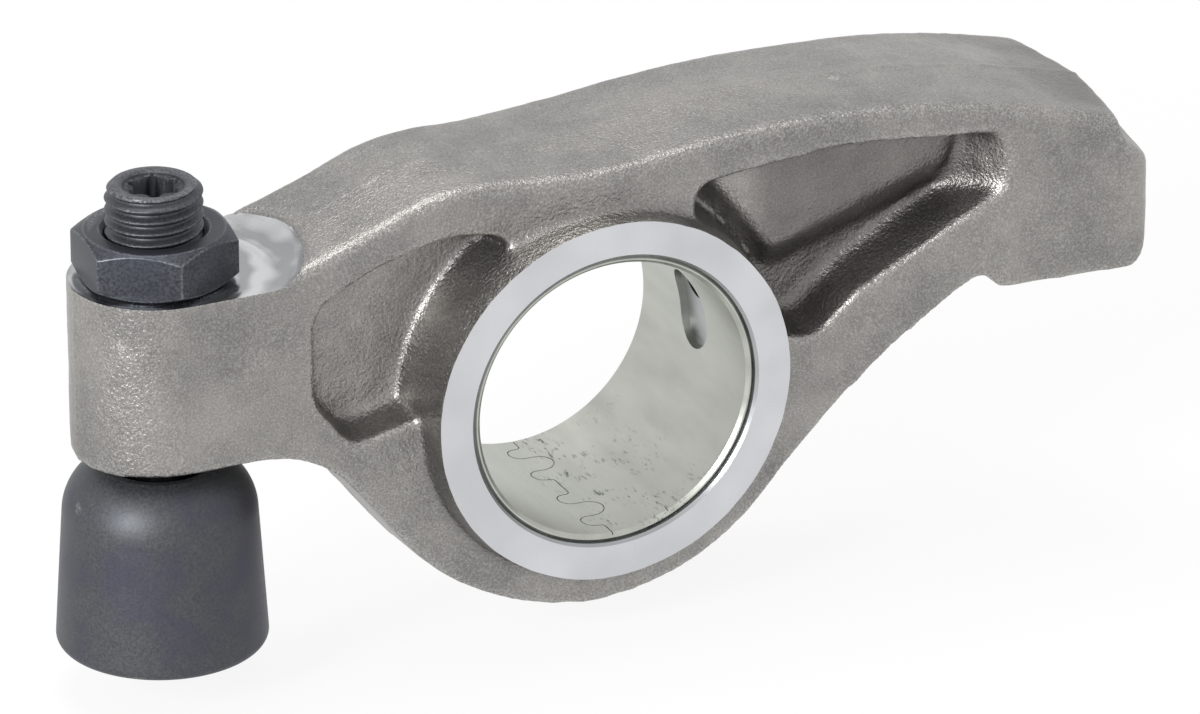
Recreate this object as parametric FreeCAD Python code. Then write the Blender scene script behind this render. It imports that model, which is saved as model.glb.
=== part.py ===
import FreeCAD, Part
import math
import os

V = FreeCAD.Vector

# Rocker arm with a bushed pivot, a ball-ended adjusting screw and a swivel foot.
# Millimetres. X runs along the arm towards the nose, Y across it, Z up, parallel to the screw.
# The origin is the centre of the pivot bore at the middle of its width.

# Pivot hub and its rolled bush
PIVOT_D = 36.0
BUSH_WALL = 1.0
BUSH_LENGTH = 30.0
BUSH_EDGE = 0.4
HUB_WIDTH = 31.2
HUB_FACE_D = 47.2
HUB_DRAFT = 7.0
SEAT_CHAMFER = 0.35
SLOT_ANGLE = 20.0
SLOT_LENGTH = 10.6
SLOT_WIDTH = 5.4

# Side view of the forged arm on its parting plane
DRAFT = 2.0
CROWN_POINTS = [(60.0, 27.9), (42.0, 30.9), (27.0, 31.55), (8.0, 30.4), (-14.0, 29.9), (-26.0, 28.1),
                (-36.0, 24.4)]
CROWN_NOSE_ANGLE = 14.5
SHOULDER_X = -44.0
BOSS_STOCK_Z = 22.0
BOSS_BOTTOM_Z = -1.7
NECK_BLEND_R = 15.0
NECK_ANGLE = 52.0
BELLY_R = 31.7
BELLY_CENTRE = (-1.2, 2.9)
ARCH_R = 115.0
PAD_ROOT = (50.0, 5.5)
PAD_ROOT_R = 2.0
PAD_WALL_ANGLE = 60.0
PAD_WALL = 0.5
PAD_EDGE_R = 1.2
NOSE_X = 75.0
NOSE_HEEL_R = 5.0
LAND_ANGLE = 50.0
LAND_RIDGE = (70.0, 26.2)
LAND_DRAFT = 8.0
EDGE_R = 1.4

# The same arm from above
BOSS_R = 10.7
WAIST_X = -20.0
HUB_SIDE = 12.45
HUB_SIDE_X = 4.0
FLARE_X = 31.0
FLARE_ANGLE = 4.2
FLARE_R = 100.0
NOSE_CORNER_R = 4.4

# Pockets in both sides: corners at the face of the flanges, each with its radius
WEB = 10.4
POCKET_DRAFT = 9.0
POCKET_FLOOR_R = 1.8
LEFT_POCKET = [(-8.0, 15.0, 2.0), (-13.0, 22.9, 2.5), (-20.0, 24.2, 12.0), (-30.0, 21.5, 20.0),
               (-38.4, 17.4, 4.5), (-38.3, 4.6, 5.0), (-33.2, -2.0, 3.0), (-18.0, 1.5, 3.0)]
RIGHT_POCKET = [(12.0, 16.0, 3.0), (20.0, 4.0, 3.0), (28.6, 1.6, 3.5), (34.4, 6.8, 8.0),
                (54.4, 18.0, 2.5), (54.0, 25.0, 3.0), (33.0, 26.9, 40.0), (12.4, 25.2, 2.5)]

# Raised panel in the right pockets, thick enough for the oil gallery
PANEL_HALF = 8.6
PANEL = [(17.3, 22.4), (24.2, 13.4), (48.8, 21.0), (49.8, 26.0), (14.3, 26.3)]
PANEL_SLOPES = [2.2, 4.4, 2.2, 2.2, 2.2]
PANEL_ROOT = 0.8
PANEL_CORNER_R = 1.8
PANEL_EDGE_R = 0.9

# Oil gallery from the slot in the bush to the end of the nose, and its plug
GALLERY_D = 4.5
GALLERY_END_Z = 17.0
PLUG_D = 5.6
PLUG_LENGTH = 5.0
PLUG_RECESS = 1.2
FEED_D = 3.0

# Adjusting screw, M12 x 1.5, and its lock nut
SCREW_X = -54.2
THREAD_D = 12.0
THREAD_CLEARANCE = 0.05
SCREW_TOP_Z = 33.0
SCREW_CHAMFER = 0.8
THREAD_END_Z = -1.5
SOCKET_ACROSS = 6.65
SOCKET_VALLEY = 4.85
SOCKET_LOBE_R = 0.6
SOCKET_TURN = 10.0
SOCKET_DEPTH = 5.0
SOCKET_MOUTH_D = 8.6
SOCKET_DISH = 0.5
NECK_D = 8.0
NECK_OVERLAP = 0.5
BALL_D = 11.6
BALL_Z = -14.0
SEAT_Z = 21.0
SEAT_CUTTER_R = 18.0
SEAT_CUTTER_CORNER = 3.0
HOLE_CHAMFER = 0.8
NUT_FLATS = 18.0
NUT_HEIGHT = 6.3
NUT_TURN = -34.3
NUT_CHAMFER_ANGLE = 30.0
NUT_MOUTH = 0.7
NUT_RING = 0.4

# Swivel foot and the split ring that keeps it on the ball
FOOT_BASE_Z = -27.5
FOOT_BASE_D = 26.1
FOOT_BASE_R = 1.2
FOOT_SHOULDER_D = 24.0
FOOT_SHOULDER_Z = -9.8
FOOT_SHOULDER_R = 7.5
FOOT_TOP_Z = -3.0
FOOT_MOUTH_CHAMFER = 0.8
BALL_CLEARANCE = 0.1
RING_THICKNESS = 1.2
RING_LIFT = 4.3
RING_D = 13.8
RING_CLEARANCE = 0.15
RING_SPLIT = 2.0
RING_FLOAT = 0.9

# Hardened socket for the pushrod, pressed into the nose from below
CUP_X = 63.5
CUP_D = 14.0
CUP_LENGTH = 8.0
CUP_RECESS = 0.4
CUP_BALL_D = 10.0
CUP_BALL_LIFT = 0.6
CUP_EDGE = 0.5

HUB_HALF = HUB_WIDTH / 2
PIVOT_R = PIVOT_D / 2
BORE_R = PIVOT_R + BUSH_WALL
THREAD_R = THREAD_D / 2
BALL_R = BALL_D / 2
SEAT_R = BALL_R + BALL_CLEARANCE
NECK_R = NECK_D / 2
OUTSIDE = 30.0
LEFT_END = SCREW_X - OUTSIDE
HALF_DEPTH = HUB_HALF + 5.0


def polar(radius, angle):
    """Point at a radius and an angle in degrees."""
    return (radius * math.cos(math.radians(angle)), radius * math.sin(math.radians(angle)))


def shift(point, offset):
    return (point[0] + offset[0], point[1] + offset[1])


def bend(point, heading, radius, turn):
    """Where an arc ends that starts along a heading and turns by an angle."""
    side = math.copysign(90.0, turn)
    centre = shift(point, polar(radius, heading + side))
    return shift(centre, polar(radius, heading + turn - side))


def headings_of(points, heading):
    """Headings along a chain of arcs, each tangent to the one before."""
    headings = [heading]
    for start, end in zip(points, points[1:]):
        chord = math.degrees(math.atan2(end[1] - start[1], end[0] - start[0]))
        turn = 2 * ((chord - headings[-1] + 180.0) % 360.0 - 180.0)
        headings.append(headings[-1] + turn)
    return headings


def chain(points, heading, place, inset=0.0):
    """Edges of a tangent chain of arcs, moved to the left of its path by an inset."""
    headings = headings_of(points, heading)
    moved = [shift(p, polar(inset, h + 90.0)) for p, h in zip(points, headings)]
    edges = []
    for start, end, entry, leave in zip(moved, moved[1:], headings, headings[1:]):
        turn = leave - entry
        if abs(turn) < 0.01:
            edges.append(Part.LineSegment(place(start), place(end)).toShape())
        else:
            chord = math.hypot(end[0] - start[0], end[1] - start[1])
            middle = shift(start, polar(chord / (2 * math.cos(math.radians(turn / 4))), entry + turn / 4))
            edges.append(Part.Arc(place(start), place(middle), place(end)).toShape())
    return edges


def side_view(y):
    return lambda point: V(point[0], y, point[1])


def plan_view(point):
    return V(point[0], point[1], 0)


def closed(edges):
    """A closed wire from edges in order, with straight lines across the open places."""
    joined = []
    for edge, after in zip(edges, edges[1:] + edges[:1]):
        joined.append(edge)
        start = edge.lastVertex(True).Point
        end = after.firstVertex(True).Point
        if start.distanceToPoint(end) > 1e-6:
            joined.append(Part.LineSegment(start, end).toShape())
    return Part.Wire(joined)


def moved_corners(points, distances):
    """Corners of a polygon drawn anticlockwise, each side moved outwards by its distance."""
    sides = []
    for start, end, distance in zip(points, points[1:] + points[:1], distances):
        along = V(end[0] - start[0], end[1] - start[1], 0).normalize()
        out = V(along.y, -along.x, 0) * distance
        sides.append((V(start[0], start[1], 0) + out, along))
    corners = []
    for (p, d), (q, e) in zip(sides[-1:] + sides[:-1], sides):
        across = d.x * e.y - d.y * e.x
        step = ((q.x - p.x) * e.y - (q.y - p.y) * e.x) / across
        corners.append((p.x + d.x * step, p.y + d.y * step))
    return corners


def rounded(points, radii, place):
    """A closed wire through corner points, each corner an arc of its radius."""
    edges = []
    for i, (corner, radius) in enumerate(zip(points, radii)):
        here = V(corner[0], corner[1], 0)
        before = (V(points[i - 1][0], points[i - 1][1], 0) - here).normalize()
        after_point = points[(i + 1) % len(points)]
        after = (V(after_point[0], after_point[1], 0) - here).normalize()
        half = before.getAngle(after) / 2
        start = here + before * (radius / math.tan(half))
        end = here + after * (radius / math.tan(half))
        middle = here + (before + after).normalize() * (radius / math.sin(half) - radius)
        arc = Part.Arc(*[place((p.x, p.y)) for p in (start, middle, end)])
        edges.append(arc.toShape())
    return closed(edges)


def mirrored(solid):
    return solid.mirror(V(0, 0, 0), V(0, 1, 0))


def turned(points, x):
    """A solid turned about the vertical line at x, from a closed outline of radius and height."""
    corners = [V(x + radius, 0, z) for radius, z in points]
    face = Part.Face(Part.makePolygon(corners + corners[:1]))
    return face.revolve(V(x, 0, 0), V(0, 0, 1), 360)


def crown():
    """Top of the arm as a tangent chain, from past the nose to the boss."""
    first = CROWN_POINTS[0]
    past = NOSE_X + OUTSIDE - first[0]
    start = (NOSE_X + OUTSIDE, first[1] - past * math.tan(math.radians(CROWN_NOSE_ANGLE)))
    return [start] + CROWN_POINTS + [(SHOULDER_X, BOSS_STOCK_Z)]


def belly():
    """Underside of the arm as a tangent chain: boss, neck, belly, arch and pad."""
    slope = math.radians(NECK_ANGLE)
    tangent = shift(BELLY_CENTRE, polar(BELLY_R, 270.0 - NECK_ANGLE))
    slope_z = BOSS_BOTTOM_Z - NECK_BLEND_R * (1 - math.cos(slope))
    slope_x = tangent[0] - (slope_z - tangent[1]) / math.tan(slope)
    blend_x = slope_x - NECK_BLEND_R * math.sin(slope)
    root = (PAD_ROOT[0] - BELLY_CENTRE[0], PAD_ROOT[1] - BELLY_CENTRE[1])
    far = math.hypot(*root)
    reach = BELLY_R + ARCH_R
    opening = math.acos((far ** 2 + reach ** 2 - ARCH_R ** 2) / (2 * far * reach))
    arch_angle = math.degrees(math.atan2(root[1], root[0]) - opening)
    points = [(LEFT_END, BOSS_BOTTOM_Z), (blend_x, BOSS_BOTTOM_Z), (slope_x, slope_z), tangent]
    points += [shift(BELLY_CENTRE, polar(BELLY_R, arch_angle)), PAD_ROOT]
    heading = headings_of(points, 0.0)[-1]
    wall_top = bend(PAD_ROOT, heading, PAD_ROOT_R, -PAD_WALL_ANGLE - heading)
    wall_foot = shift(wall_top, polar(PAD_WALL, -PAD_WALL_ANGLE))
    pad = bend(wall_foot, -PAD_WALL_ANGLE, PAD_EDGE_R, PAD_WALL_ANGLE)
    return points + [wall_top, wall_foot, pad, (NOSE_X + OUTSIDE, pad[1])]


PAD_Z = belly()[-1][1]
CUP_TOP_Z = PAD_Z + CUP_RECESS + CUP_LENGTH


def side_outline(y):
    """Outline of the forging at a distance from the parting plane, drawn in by the draft."""
    inset = abs(y) * math.tan(math.radians(DRAFT))
    place = side_view(y)
    shelf_z = BOSS_STOCK_Z - inset
    shelf = Part.LineSegment(place((SHOULDER_X - OUTSIDE / 10, shelf_z)), place((LEFT_END, shelf_z)))
    top = chain(crown(), 180.0 - CROWN_NOSE_ANGLE, place, inset)
    return closed(chain(belly(), 0.0, place, inset) + top + [shelf.toShape()])


def plan_block():
    """Outline of the forging from above, as a tall block."""
    flare = math.radians(FLARE_ANGLE)
    middle = ((WAIST_X + HUB_SIDE_X) / 2, -(BOSS_R + HUB_SIDE) / 2)
    flared = bend((FLARE_X, -HUB_SIDE), 0.0, FLARE_R, -FLARE_ANGLE)
    corner_x = NOSE_X - NOSE_CORNER_R * (1 + math.sin(flare))
    corner = (corner_x, flared[1] - (corner_x - flared[0]) * math.tan(flare))
    end = bend(corner, -FLARE_ANGLE, NOSE_CORNER_R, 90.0 + FLARE_ANGLE)
    near = [(SCREW_X, -BOSS_R), (WAIST_X, -BOSS_R), middle, (HUB_SIDE_X, -HUB_SIDE)]
    near += [(FLARE_X, -HUB_SIDE), flared, corner, end]
    far = [(x, -y) for x, y in reversed(near)]
    boss = Part.Arc(V(SCREW_X, BOSS_R, 0), V(SCREW_X - BOSS_R, 0, 0), V(SCREW_X, -BOSS_R, 0))
    outline = closed(chain(near, 0.0, plan_view) + chain(far, 90.0, plan_view) + [boss.toShape()])
    block = Part.Face(outline).extrude(V(0, 0, 4 * OUTSIDE))
    block.translate(V(0, 0, -2 * OUTSIDE))
    return block


def nose_outline(y):
    """Everything left of the nose's end wall, its rounded heel and its sloped land."""
    inset = abs(y) * math.tan(math.radians(LAND_DRAFT))
    land = shift(LAND_RIDGE, polar(-inset, 90.0 - LAND_ANGLE))
    slope = math.tan(math.radians(LAND_ANGLE))
    foot = (NOSE_X, land[1] - (NOSE_X - land[0]) * slope)
    top = (land[0] - (2 * OUTSIDE - land[1]) / slope, 2 * OUTSIDE)
    heel_start = (NOSE_X - NOSE_HEEL_R, PAD_Z)
    heel_end = bend(heel_start, 0.0, NOSE_HEEL_R, 90.0)
    place = side_view(y)
    edges = chain([heel_start, heel_end], 0.0, place)
    corners = [heel_end, foot, top, (LEFT_END, 2 * OUTSIDE), (LEFT_END, -2 * OUTSIDE)]
    corners.append((heel_start[0], -2 * OUTSIDE))
    for start, end in zip(corners, corners[1:] + [heel_start]):
        edges.append(Part.LineSegment(place(start), place(end)).toShape())
    return Part.Wire(edges)


def halves(outline):
    """Two drafted halves that meet at the parting plane."""
    near = Part.makeLoft([outline(0.0), outline(-HALF_DEPTH)], True, True)
    return near.fuse(mirrored(near))


def normal(face, point):
    u, v = face.Surface.parameter(point)
    return face.normalAt(u, v)


def is_top_rim(blank, edge):
    """True for the edges between the sides and the top of the blank, but for its raw boss."""
    middle = edge.valueAt((edge.FirstParameter + edge.LastParameter) / 2)
    rise = sorted(abs(normal(face, middle).z) for face in blank.ancestorsOfType(edge, Part.Face))
    raw_boss = middle.z > SEAT_Z and middle.x < SHOULDER_X
    return rise[0] < 0.02 and rise[-1] > 0.3 and middle.z > PIVOT_R / 2 and not raw_boss


def lies_at(edge, y):
    """True for an edge in a plane across Y."""
    return max(abs(edge.BoundBox.YMin - y), abs(edge.BoundBox.YMax - y)) < 0.01


def pocket_tool(corners):
    """A drafted pocket with a rounded floor, cut into the near side."""
    points = [c[:2] for c in corners]
    radii = [c[2] for c in corners]
    slope = math.tan(math.radians(POCKET_DRAFT))
    wires = []
    for y in (-HALF_DEPTH, -WEB / 2):
        grow = (abs(y) - HUB_SIDE) * slope
        wires.append(rounded(moved_corners(points, [grow] * len(points)), radii, side_view(y)))
    tool = Part.makeLoft(wires, True, True)
    return tool.makeFillet(POCKET_FLOOR_R, [e for e in tool.Edges if lies_at(e, -WEB / 2)])


def panel():
    """Raised panel on the web, with a long slope below and a short one beside the hub."""
    wires = []
    for y in (PANEL_ROOT - WEB / 2, -PANEL_HALF):
        share = (PANEL_HALF - abs(y)) / (PANEL_HALF - WEB / 2)
        points = moved_corners(PANEL, [s * share for s in PANEL_SLOPES])
        wires.append(rounded(points, [PANEL_CORNER_R] * len(points), side_view(y)))
    block = Part.makeLoft(wires, True, True)
    return block.makeFillet(PANEL_EDGE_R, [e for e in block.Edges if lies_at(e, -PANEL_HALF)])


def hub_collar():
    """Drafted collar round the bore, proud of the flanges and faced on both sides."""
    face_r = HUB_FACE_D / 2
    root_r = face_r + HUB_HALF * math.tan(math.radians(HUB_DRAFT))
    near = Part.makeCone(face_r, root_r, HUB_HALF, V(0, -HUB_HALF, 0), V(0, 1, 0))
    return near.fuse(mirrored(near))


def gallery_line():
    """Start at the bush slot, end on the nose, and direction of the gallery."""
    start = side_view(0)(polar(PIVOT_R, SLOT_ANGLE))
    end = V(NOSE_X, 0, GALLERY_END_Z)
    return start, end, (end - start).normalize()


def bore_tool():
    """The bore for the bush, broken at both edges."""
    tool = Part.makeCylinder(BORE_R, HUB_WIDTH, V(0, -HUB_HALF, 0), V(0, 1, 0))
    for side in (-1, 1):
        face = V(0, side * HUB_HALF, 0)
        tool = tool.fuse(Part.makeCone(BORE_R + SEAT_CHAMFER, BORE_R, SEAT_CHAMFER, face, V(0, -side, 0)))
    return tool


def spot_tool():
    """Cutter that faces the boss for the lock nut and bites into the arm beside it."""
    flat = SEAT_CUTTER_R - SEAT_CUTTER_CORNER
    corner = bend((flat, SEAT_Z), 0.0, SEAT_CUTTER_CORNER, 90.0)
    above = SEAT_Z + OUTSIDE
    edges = chain([(0, SEAT_Z), (flat, SEAT_Z), corner, (SEAT_CUTTER_R, above)], 0.0, side_view(0))
    edges.append(Part.LineSegment(V(SEAT_CUTTER_R, 0, above), V(0, 0, above)).toShape())
    tool = Part.Face(closed(edges)).revolve(V(0, 0, 0), V(0, 0, 1), 360)
    tool.translate(V(SCREW_X, 0, 0))
    return tool


def screw_hole_tool():
    """The threaded hole through the boss, countersunk below."""
    radius = THREAD_R + THREAD_CLEARANCE
    wide = radius + 2 * HOLE_CHAMFER
    low = BOSS_BOTTOM_Z - HOLE_CHAMFER
    above = SEAT_Z + OUTSIDE
    outline = [(0, low), (wide, low), (radius, low + 2 * HOLE_CHAMFER), (radius, above), (0, above)]
    return turned(outline, SCREW_X)


def gallery_tool():
    """Oil gallery, the seat of its plug and the feed down to the pushrod socket."""
    start, end, along = gallery_line()
    tool = Part.makeCylinder(GALLERY_D / 2, (end - start).Length, start, along)
    depth = PLUG_RECESS + PLUG_LENGTH
    tool = tool.fuse(Part.makeCylinder(PLUG_D / 2, depth + OUTSIDE, end - along * depth, along))
    level = start.z + (CUP_X - start.x) * along.z / along.x
    return tool.fuse(Part.makeCylinder(FEED_D / 2, level - CUP_TOP_Z, V(CUP_X, 0, CUP_TOP_Z)))


def cup_tool():
    """Seat of the pushrod socket in the pad."""
    low = PAD_Z - OUTSIDE
    return Part.makeCylinder(CUP_D / 2, CUP_TOP_Z - low, V(CUP_X, 0, low))


def rocker_forging():
    """The forged arm: blank, pockets, panels and collar, then the machined faces and holes."""
    blank = halves(side_outline).common(plan_block()).common(halves(nose_outline)).removeSplitter()
    arm = blank.makeFillet(EDGE_R, [e for e in blank.Edges if is_top_rim(blank, e)])
    pockets = [pocket_tool(LEFT_POCKET), pocket_tool(RIGHT_POCKET)]
    arm = arm.cut(pockets + [mirrored(p) for p in pockets])
    arm = arm.fuse([panel(), mirrored(panel()), hub_collar()])
    return arm.cut([bore_tool(), spot_tool(), screw_hole_tool(), gallery_tool(), cup_tool()])


def pivot_bush():
    """Rolled bush with its oil slot."""
    half = BUSH_LENGTH / 2
    shell = [(PIVOT_R, BUSH_EDGE - half), (PIVOT_R + BUSH_EDGE, -half), (BORE_R - BUSH_EDGE, -half)]
    shell.append((BORE_R, BUSH_EDGE - half))
    shell += [(r, -z) for r, z in reversed(shell)]
    bush = turned(shell, 0)
    bush.rotate(V(0, 0, 0), V(1, 0, 0), 90)
    radius = SLOT_WIDTH / 2
    rise = SLOT_LENGTH / 2 - radius
    slot = Part.makeBox(BUSH_LENGTH, SLOT_WIDTH, 2 * rise, V(0, -radius, -rise))
    for z in (-rise, rise):
        slot = slot.fuse(Part.makeCylinder(radius, BUSH_LENGTH, V(0, 0, z), V(1, 0, 0)))
    slot.rotate(V(0, 0, 0), V(0, 1, 0), -SLOT_ANGLE)
    return bush.cut(slot)


def six_lobe(z):
    """Outline of the six-lobe drive, its lobes and valleys as tangent arcs."""
    lobe_at = SOCKET_ACROSS / 2 - SOCKET_LOBE_R
    valley = SOCKET_VALLEY / 2
    share = math.cos(math.radians(30))
    over = SOCKET_LOBE_R ** 2 - lobe_at ** 2 - valley ** 2 + 2 * lobe_at * valley * share
    valley_r = over / (2 * (valley - lobe_at * share - SOCKET_LOBE_R))
    valley_centre = polar(valley + valley_r, 30)
    part = SOCKET_LOBE_R / (SOCKET_LOBE_R + valley_r)
    join = (lobe_at + (valley_centre[0] - lobe_at) * part, valley_centre[1] * part)
    join_r = math.hypot(*join)
    join_angle = math.degrees(math.atan2(join[1], join[0]))
    edges = []
    for turn in range(0, 360, 60):
        lobe = [(join_r, -join_angle), (SOCKET_ACROSS / 2, 0), (join_r, join_angle)]
        dip = [(join_r, join_angle), (valley, 30), (join_r, 60 - join_angle)]
        for arc in (lobe, dip):
            points = [polar(radius, angle + turn) for radius, angle in arc]
            edges.append(Part.Arc(*[V(x, y, z) for x, y in points]).toShape())
    return Part.Wire(edges)


def adjusting_screw():
    """Threaded shank, neck and ball, with a six-lobe drive in a dished top."""
    top = SCREW_TOP_Z
    neck_foot = BALL_Z + math.sqrt(BALL_R ** 2 - NECK_R ** 2) - NECK_OVERLAP
    shank = [(0, top), (THREAD_R - SCREW_CHAMFER, top), (THREAD_R, top - SCREW_CHAMFER)]
    shank += [(THREAD_R, THREAD_END_Z + SCREW_CHAMFER), (THREAD_R - SCREW_CHAMFER, THREAD_END_Z)]
    shank += [(NECK_R, THREAD_END_Z), (NECK_R, neck_foot), (0, neck_foot)]
    screw = turned(shank, SCREW_X).fuse(Part.makeSphere(BALL_R, V(SCREW_X, 0, BALL_Z)))
    mouth_r = SOCKET_MOUTH_D / 2
    dish = Part.makeCone(mouth_r, SOCKET_ACROSS / 2, SOCKET_DISH, V(SCREW_X, 0, top), V(0, 0, -1))
    drive = Part.Face(six_lobe(top - SOCKET_DEPTH)).extrude(V(0, 0, SOCKET_DEPTH))
    drive.rotate(V(0, 0, 0), V(0, 0, 1), SOCKET_TURN)
    drive.translate(V(SCREW_X, 0, 0))
    return screw.cut([dish, drive])


def lock_nut():
    """Hexagon nut with both faces bevelled and a countersunk hole."""
    corner_r = NUT_FLATS / math.sqrt(3)
    corners = [V(*polar(corner_r, NUT_TURN + 60 * i), SEAT_Z) for i in range(6)]
    hexagon = Part.Face(Part.makePolygon(corners + corners[:1])).extrude(V(0, 0, NUT_HEIGHT))
    hexagon.translate(V(SCREW_X, 0, 0))
    top = SEAT_Z + NUT_HEIGHT
    ring_r = NUT_FLATS / 2 - NUT_RING
    fall = (corner_r - ring_r) * math.tan(math.radians(NUT_CHAMFER_ANGLE))
    bevels = [(0, SEAT_Z), (ring_r, SEAT_Z), (corner_r, SEAT_Z + fall), (corner_r, top - fall)]
    bevels += [(ring_r, top), (0, top)]
    hole_r = THREAD_R + THREAD_CLEARANCE
    hole = [(0, SEAT_Z), (hole_r + NUT_MOUTH, SEAT_Z), (hole_r, SEAT_Z + NUT_MOUTH)]
    hole += [(hole_r, top - NUT_MOUTH), (hole_r + NUT_MOUTH, top), (0, top)]
    return hexagon.common(turned(bevels, SCREW_X)).cut(turned(hole, SCREW_X))


def swivel_foot():
    """Turned foot with a spherical seat, a groove for the retaining ring and a flat face."""
    base_r = FOOT_BASE_D / 2
    shoulder = (FOOT_SHOULDER_D / 2, FOOT_SHOULDER_Z)
    lean = math.atan2(shoulder[0] - base_r, shoulder[1] - FOOT_BASE_Z - FOOT_BASE_R)
    side = 90.0 - math.degrees(lean)
    base = bend((base_r - FOOT_BASE_R, FOOT_BASE_Z), 0.0, FOOT_BASE_R, side)
    turn = math.degrees(math.acos((FOOT_TOP_Z - FOOT_SHOULDER_Z) / FOOT_SHOULDER_R))
    crest = bend(shoulder, side, FOOT_SHOULDER_R, 180.0 - turn - side)
    outline = chain([(0, FOOT_BASE_Z), (base_r - FOOT_BASE_R, FOOT_BASE_Z), base], 0.0, side_view(0))
    outline += chain([shoulder, crest], side, side_view(0))
    outline.append(Part.LineSegment(V(0, 0, crest[1]), V(0, 0, FOOT_BASE_Z)).toShape())
    body = Part.Face(closed(outline)).revolve(V(0, 0, 0), V(0, 0, 1), 360)
    body.translate(V(SCREW_X, 0, 0))
    mouth_r = SEAT_R + BALL_CLEARANCE / 2
    wide = mouth_r + FOOT_MOUTH_CHAMFER
    groove_low = BALL_Z + RING_LIFT - RING_FLOAT
    groove_top = BALL_Z + RING_LIFT + RING_THICKNESS + RING_FLOAT
    groove_r = RING_D / 2 + RING_FLOAT
    well = [(0, BALL_Z), (mouth_r, BALL_Z), (mouth_r, groove_low), (groove_r, groove_low)]
    well += [(groove_r, groove_top), (mouth_r, groove_top), (mouth_r, crest[1] - FOOT_MOUTH_CHAMFER)]
    well += [(wide, crest[1]), (0, crest[1])]
    return body.cut([turned(well, SCREW_X), Part.makeSphere(SEAT_R, V(SCREW_X, 0, BALL_Z))])


def foot_clip():
    """Split ring that sits in the groove of the foot, above the ball."""
    low = V(SCREW_X, 0, BALL_Z + RING_LIFT)
    ring = Part.makeCylinder(RING_D / 2, RING_THICKNESS, low)
    hole = Part.makeCylinder(NECK_R + RING_CLEARANCE, RING_THICKNESS, low)
    split = Part.makeBox(RING_D, RING_SPLIT, RING_THICKNESS, low - V(0, RING_SPLIT / 2, 0))
    return ring.cut([hole, split])


def pushrod_socket():
    """Hardened cup with a ball seat below and an oil hole above."""
    low = PAD_Z + CUP_RECESS
    top = CUP_TOP_Z
    radius = CUP_D / 2
    wall = [(0, low), (radius - CUP_EDGE, low), (radius, low + CUP_EDGE), (radius, top - CUP_EDGE)]
    wall += [(radius - CUP_EDGE, top), (0, top)]
    seat = Part.makeSphere(CUP_BALL_D / 2, V(CUP_X, 0, low + CUP_BALL_LIFT))
    mouth = Part.makeCylinder(CUP_BALL_D / 2, CUP_BALL_LIFT, V(CUP_X, 0, low))
    oil = Part.makeCylinder(FEED_D / 2, CUP_LENGTH, V(CUP_X, 0, low))
    return turned(wall, CUP_X).cut([seat, mouth, oil])


def gallery_plug():
    """Plug that closes the drilled end of the gallery, just inside the nose."""
    start, end, along = gallery_line()
    return Part.makeCylinder(PLUG_D / 2, PLUG_LENGTH, end - along * (PLUG_RECESS + PLUG_LENGTH), along)


os.makedirs("parts", exist_ok=True)
PIECES = [rocker_forging, pivot_bush, gallery_plug, pushrod_socket, adjusting_screw, lock_nut, swivel_foot,
          foot_clip]
for make in PIECES:
    piece = make()
    print(make.__name__, "valid:", piece.isValid(), "solids:", len(piece.Solids), "mm3:", round(piece.Volume, 1))
    piece.exportStep("parts/" + make.__name__ + ".step")
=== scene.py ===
# %% [markdown]
# # A forged rocker arm, dressed for a studio picture
#
# A rocker arm turns a pushrod's lift into a push on the valves. This one is a steel forging with a
# bushed pivot bore, an adjusting screw with a lock nut, and a foot that swivels on the screw's ball.
# The lesson follows the workshop's order: forge the blank, blast it, machine it, then make the small
# pieces and give each its own finish. The construction model is loaded first and never changes.

# %% Load the construction model
import math

import bpy
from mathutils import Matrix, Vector


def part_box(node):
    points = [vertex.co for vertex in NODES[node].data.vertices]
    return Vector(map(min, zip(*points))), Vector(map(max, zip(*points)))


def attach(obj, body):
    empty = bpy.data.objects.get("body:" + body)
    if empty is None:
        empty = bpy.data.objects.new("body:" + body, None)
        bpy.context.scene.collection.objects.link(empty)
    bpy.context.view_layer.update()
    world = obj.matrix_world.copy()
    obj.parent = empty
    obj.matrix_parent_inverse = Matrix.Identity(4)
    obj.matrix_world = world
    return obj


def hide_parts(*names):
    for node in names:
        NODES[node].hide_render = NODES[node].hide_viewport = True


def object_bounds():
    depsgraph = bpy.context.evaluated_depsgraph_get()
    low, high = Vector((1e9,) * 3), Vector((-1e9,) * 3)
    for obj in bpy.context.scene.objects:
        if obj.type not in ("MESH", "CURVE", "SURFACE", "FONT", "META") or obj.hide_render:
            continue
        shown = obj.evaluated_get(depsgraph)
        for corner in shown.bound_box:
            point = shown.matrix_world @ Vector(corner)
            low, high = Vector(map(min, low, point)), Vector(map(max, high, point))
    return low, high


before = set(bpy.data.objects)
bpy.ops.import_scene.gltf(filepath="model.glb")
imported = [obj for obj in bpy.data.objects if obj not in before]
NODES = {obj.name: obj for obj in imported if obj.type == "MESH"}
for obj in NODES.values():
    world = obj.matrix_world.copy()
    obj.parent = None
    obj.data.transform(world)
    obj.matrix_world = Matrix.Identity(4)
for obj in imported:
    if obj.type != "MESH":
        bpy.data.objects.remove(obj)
cad_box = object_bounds()
print("construction box, m:", [tuple(round(c, 4) for c in corner) for corner in cad_box])

# %% [markdown]
# Blender counts in metres and a machinist in millimetres, so one helper turns lengths over and another
# turns points. Places come from the construction model where it has them, so nothing is fitted later.

# %% Units and the places that the pieces share
MM = 0.001


def metres(*lengths):
    return tuple(length * MM for length in lengths)


def box_mm(node):
    low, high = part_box(node)
    return low / MM, high / MM


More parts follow.
